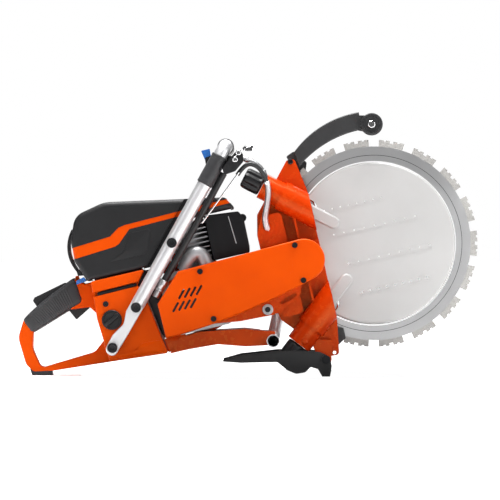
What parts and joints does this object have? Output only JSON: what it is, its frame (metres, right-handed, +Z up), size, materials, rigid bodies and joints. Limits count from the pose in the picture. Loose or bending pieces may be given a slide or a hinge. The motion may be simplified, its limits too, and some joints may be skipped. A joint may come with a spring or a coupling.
{
  "type": "hand-held ring saw",
  "caption": "Petrol concrete cut-off saw whose diamond ring is driven and guided at its inner edge, with belt drive, water feed, loop front handle and rear grip.",
  "frame": {"origin": "floor level, centre of the overall bounding box, with the saw standing on its rear foot and spray guard", "axes": "+X forward towards the cutting ring, +Y the saw's left (starter) side, +Z up; the ring turns in a plane across Y"},
  "size_m": [0.8194, 0.248, 0.4699],
  "materials": {
    "orange_plastic": "moulded orange plastic, semi-gloss",
    "orange_casting": "orange powder-coated casting",
    "grey_cover": "dark grey moulded cover, fine texture",
    "black_plastic": "black moulded plastic",
    "grey_guard": "mid grey painted guard",
    "black_steel": "black heat-proof coating",
    "rubber_black": "black rubber",
    "rubber_grip": "dark grey grip rubber",
    "blue_plastic": "blue moulded control",
    "aluminium_tube": "brushed aluminium tube",
    "cast_aluminium": "cast and bead-blasted aluminium",
    "steel": "machined steel",
    "ring_steel": "ground steel core",
    "disc_steel": "pressed sheet, light grey",
    "diamond_segment": "sintered metal with diamond grit",
    "chrome_part": "bright chrome",
    "black_screw": "black oxide steel",
    "braid": "wound wire sleeve",
    "filter_foam": "oiled filter foam"
  },
  "bodies": {
    "saw": {"water_disc": "disc_steel", "drive_belt": "rubber_black", "ball_bearings": "steel", "roller_housing": "orange_casting", "roller_cover": "orange_casting", "belt_guard": "orange_plastic", "cover_screws": "black_screw", "drive_arm": "orange_casting", "tension_bolts": "black_screw", "tank_and_rear_handle": "orange_plastic", "rear_grip": "rubber_grip", "handle_foot": "rubber_black", "crankcase": "cast_aluminium", "cylinder": "cast_aluminium", "muffler": "black_steel", "exhaust_elbow": "cast_aluminium", "filter_element": "filter_foam", "filter_base": "grey_cover", "cover_stripe": "orange_plastic", "filter_cover": "grey_cover", "lower_frame": "orange_casting", "support_tube": "aluminium_tube", "starter_housing": "orange_plastic", "front_handle": "aluminium_tube", "handle_sleeve": "rubber_grip", "handle_bolts": "black_screw", "inlet_hose": "rubber_black", "inlet_connector": "steel", "tap_body": "black_plastic", "tap_nut": "chrome_part", "outlet_hose": "rubber_black", "hose_sleeve": "braid", "blade_guard": "grey_guard", "roller_screw": "chrome_part", "scoop_pin": "black_screw"},
    "cutting_ring": {"ring_core": "ring_steel", "ring_segments": "diamond_segment"},
    "drive": {"drive_wheel": "steel", "drive_shaft": "steel", "drive_pulley": "steel"},
    "drum": {"clutch_drum": "steel"},
    "crank": {"crankshaft": "steel", "flywheel": "cast_aluminium"},
    "upper_arm": {"upper_roller_arm": "steel"},
    "lower_arm": {"lower_roller_arm": "steel"},
    "upper_roller": {"upper_guide_roller": "steel"},
    "lower_roller": {"lower_guide_roller": "steel"},
    "upper_knob": {"upper_adjuster_knob": "black_plastic"},
    "lower_knob": {"lower_adjuster_knob": "black_plastic"},
    "nose_roller": {"guard_roller": "rubber_black"},
    "scoop": {"spray_guard": "grey_guard"},
    "pull_grip": {"starter_handle": "black_plastic"},
    "reel": {"starter_reel": "black_plastic"},
    "trigger": {"throttle_trigger": "black_plastic"},
    "lockout": {"throttle_lockout": "black_plastic"},
    "choke": {"choke_knob": "blue_plastic"},
    "stop": {"stop_switch": "orange_plastic"},
    "cap": {"fuel_cap": "black_plastic"},
    "latch": {"cover_latch": "black_plastic"},
    "tap": {"tap_lever": "blue_plastic"}
  },
  "joints": [
    {"name": "ring_spin", "type": "hinge", "parent": "saw", "child": "cutting_ring", "pos_m": [0.22471, -0.025, 0.236], "axis": [0, 1, 0], "continuous": true},
    {"name": "drive_spin", "type": "hinge", "parent": "saw", "child": "drive", "pos_m": [0.09853, -0.025, 0.20687], "axis": [0, 1, 0], "continuous": true},
    {"name": "drum_spin", "type": "hinge", "parent": "saw", "child": "drum", "pos_m": [-0.08562, -0.098, 0.14274], "axis": [0, 1, 0], "continuous": true},
    {"name": "crank_spin", "type": "hinge", "parent": "saw", "child": "crank", "pos_m": [-0.08562, -0.025, 0.14274], "axis": [0, 1, 0], "continuous": true},
    {"name": "upper_arm_slide", "type": "slide", "parent": "saw", "child": "upper_arm", "axis": [0.891, 0, -0.454], "range_m": [0, 0.003]},
    {"name": "upper_roller_spin", "type": "hinge", "parent": "upper_arm", "child": "upper_roller", "pos_m": [0.10291, -0.025, 0.29806], "axis": [0, 1, 0], "continuous": true},
    {"name": "upper_knob_turn", "type": "hinge", "parent": "saw", "child": "upper_knob", "pos_m": [0.02513, -0.0596, 0.33769], "axis": [-0.891, 0, 0.454], "range_deg": [0, 617.14]},
    {"name": "lower_arm_slide", "type": "slide", "parent": "saw", "child": "lower_arm", "axis": [0.6018, 0, 0.7986], "range_m": [0, 0.003]},
    {"name": "lower_roller_spin", "type": "hinge", "parent": "lower_arm", "child": "lower_roller", "pos_m": [0.14244, -0.025, 0.12683], "axis": [0, 1, 0], "continuous": true},
    {"name": "lower_knob_turn", "type": "hinge", "parent": "saw", "child": "lower_knob", "pos_m": [0.08991, -0.0596, 0.05711], "axis": [-0.6018, 0, -0.7986], "range_deg": [0, 617.14]},
    {"name": "nose_roller_spin", "type": "hinge", "parent": "saw", "child": "nose_roller", "pos_m": [0.21993, -0.045, 0.44786], "axis": [0, 1, 0], "continuous": true},
    {"name": "scoop_swing", "type": "hinge", "parent": "saw", "child": "scoop", "pos_m": [0.13779, -0.025, 0.03017], "axis": [0, -1, 0], "range_deg": [0, 25]},
    {"name": "starter_pull", "type": "slide", "parent": "saw", "child": "pull_grip", "axis": [-0.225, 0, 0.9744], "range_m": [0, 0.024], "stiffness_N_per_m": 40, "springref_m": -0.03},
    {"name": "reel_turn", "type": "hinge", "parent": "saw", "child": "reel", "pos_m": [-0.08562, 0.072, 0.14274], "axis": [0, 1, 0], "range_deg": [0, 57.3]},
    {"name": "trigger_pull", "type": "hinge", "parent": "saw", "child": "trigger", "pos_m": [-0.29984, -0.01, 0.12818], "axis": [0, 1, 0], "range_deg": [0, 12], "stiffness_Nm_per_rad": 0.3, "springref_deg": -8.59},
    {"name": "lockout_press", "type": "hinge", "parent": "saw", "child": "lockout", "pos_m": [-0.32, -0.01, 0.15329], "axis": [0, -1, 0], "range_deg": [0, 6], "stiffness_Nm_per_rad": 0.5, "springref_deg": -8.59},
    {"name": "choke_pull", "type": "slide", "parent": "saw", "child": "choke", "axis": [-0.9744, 0, -0.225], "range_m": [0, 0.01]},
    {"name": "stop_flip", "type": "hinge", "parent": "saw", "child": "stop", "pos_m": [-0.30257, -0.01, 0.16449], "axis": [0, 1, 0], "range_deg": [0, 10]},
    {"name": "cap_turn", "type": "hinge", "parent": "saw", "child": "cap", "pos_m": [-0.24074, -0.085, 0.10026], "axis": [0, -1, 0], "range_deg": [0, 180]},
    {"name": "latch_open", "type": "hinge", "parent": "saw", "child": "latch", "pos_m": [-0.30127, -0.01, 0.18327], "axis": [0, -1, 0], "range_deg": [0, 20]},
    {"name": "tap_turn", "type": "hinge", "parent": "saw", "child": "tap", "pos_m": [-0.06923, -0.075, 0.37847], "axis": [0, -1, 0], "range_deg": [0, 80]}
  ],
  "couplings": [
    {"joint": "drive_spin", "follows": "ring_spin", "ratio": 8.5465},
    {"joint": "drum_spin", "follows": "ring_spin", "ratio": 5.3416},
    {"joint": "upper_roller_spin", "follows": "ring_spin", "ratio": 14.7},
    {"joint": "lower_roller_spin", "follows": "ring_spin", "ratio": 14.7},
    {"joint": "upper_knob_turn", "follows": "upper_arm_slide", "rad_per_m": 3590},
    {"joint": "lower_knob_turn", "follows": "lower_arm_slide", "rad_per_m": 3590},
    {"joint": "reel_turn", "follows": "starter_pull", "rad_per_m": 41.663}
  ]
}
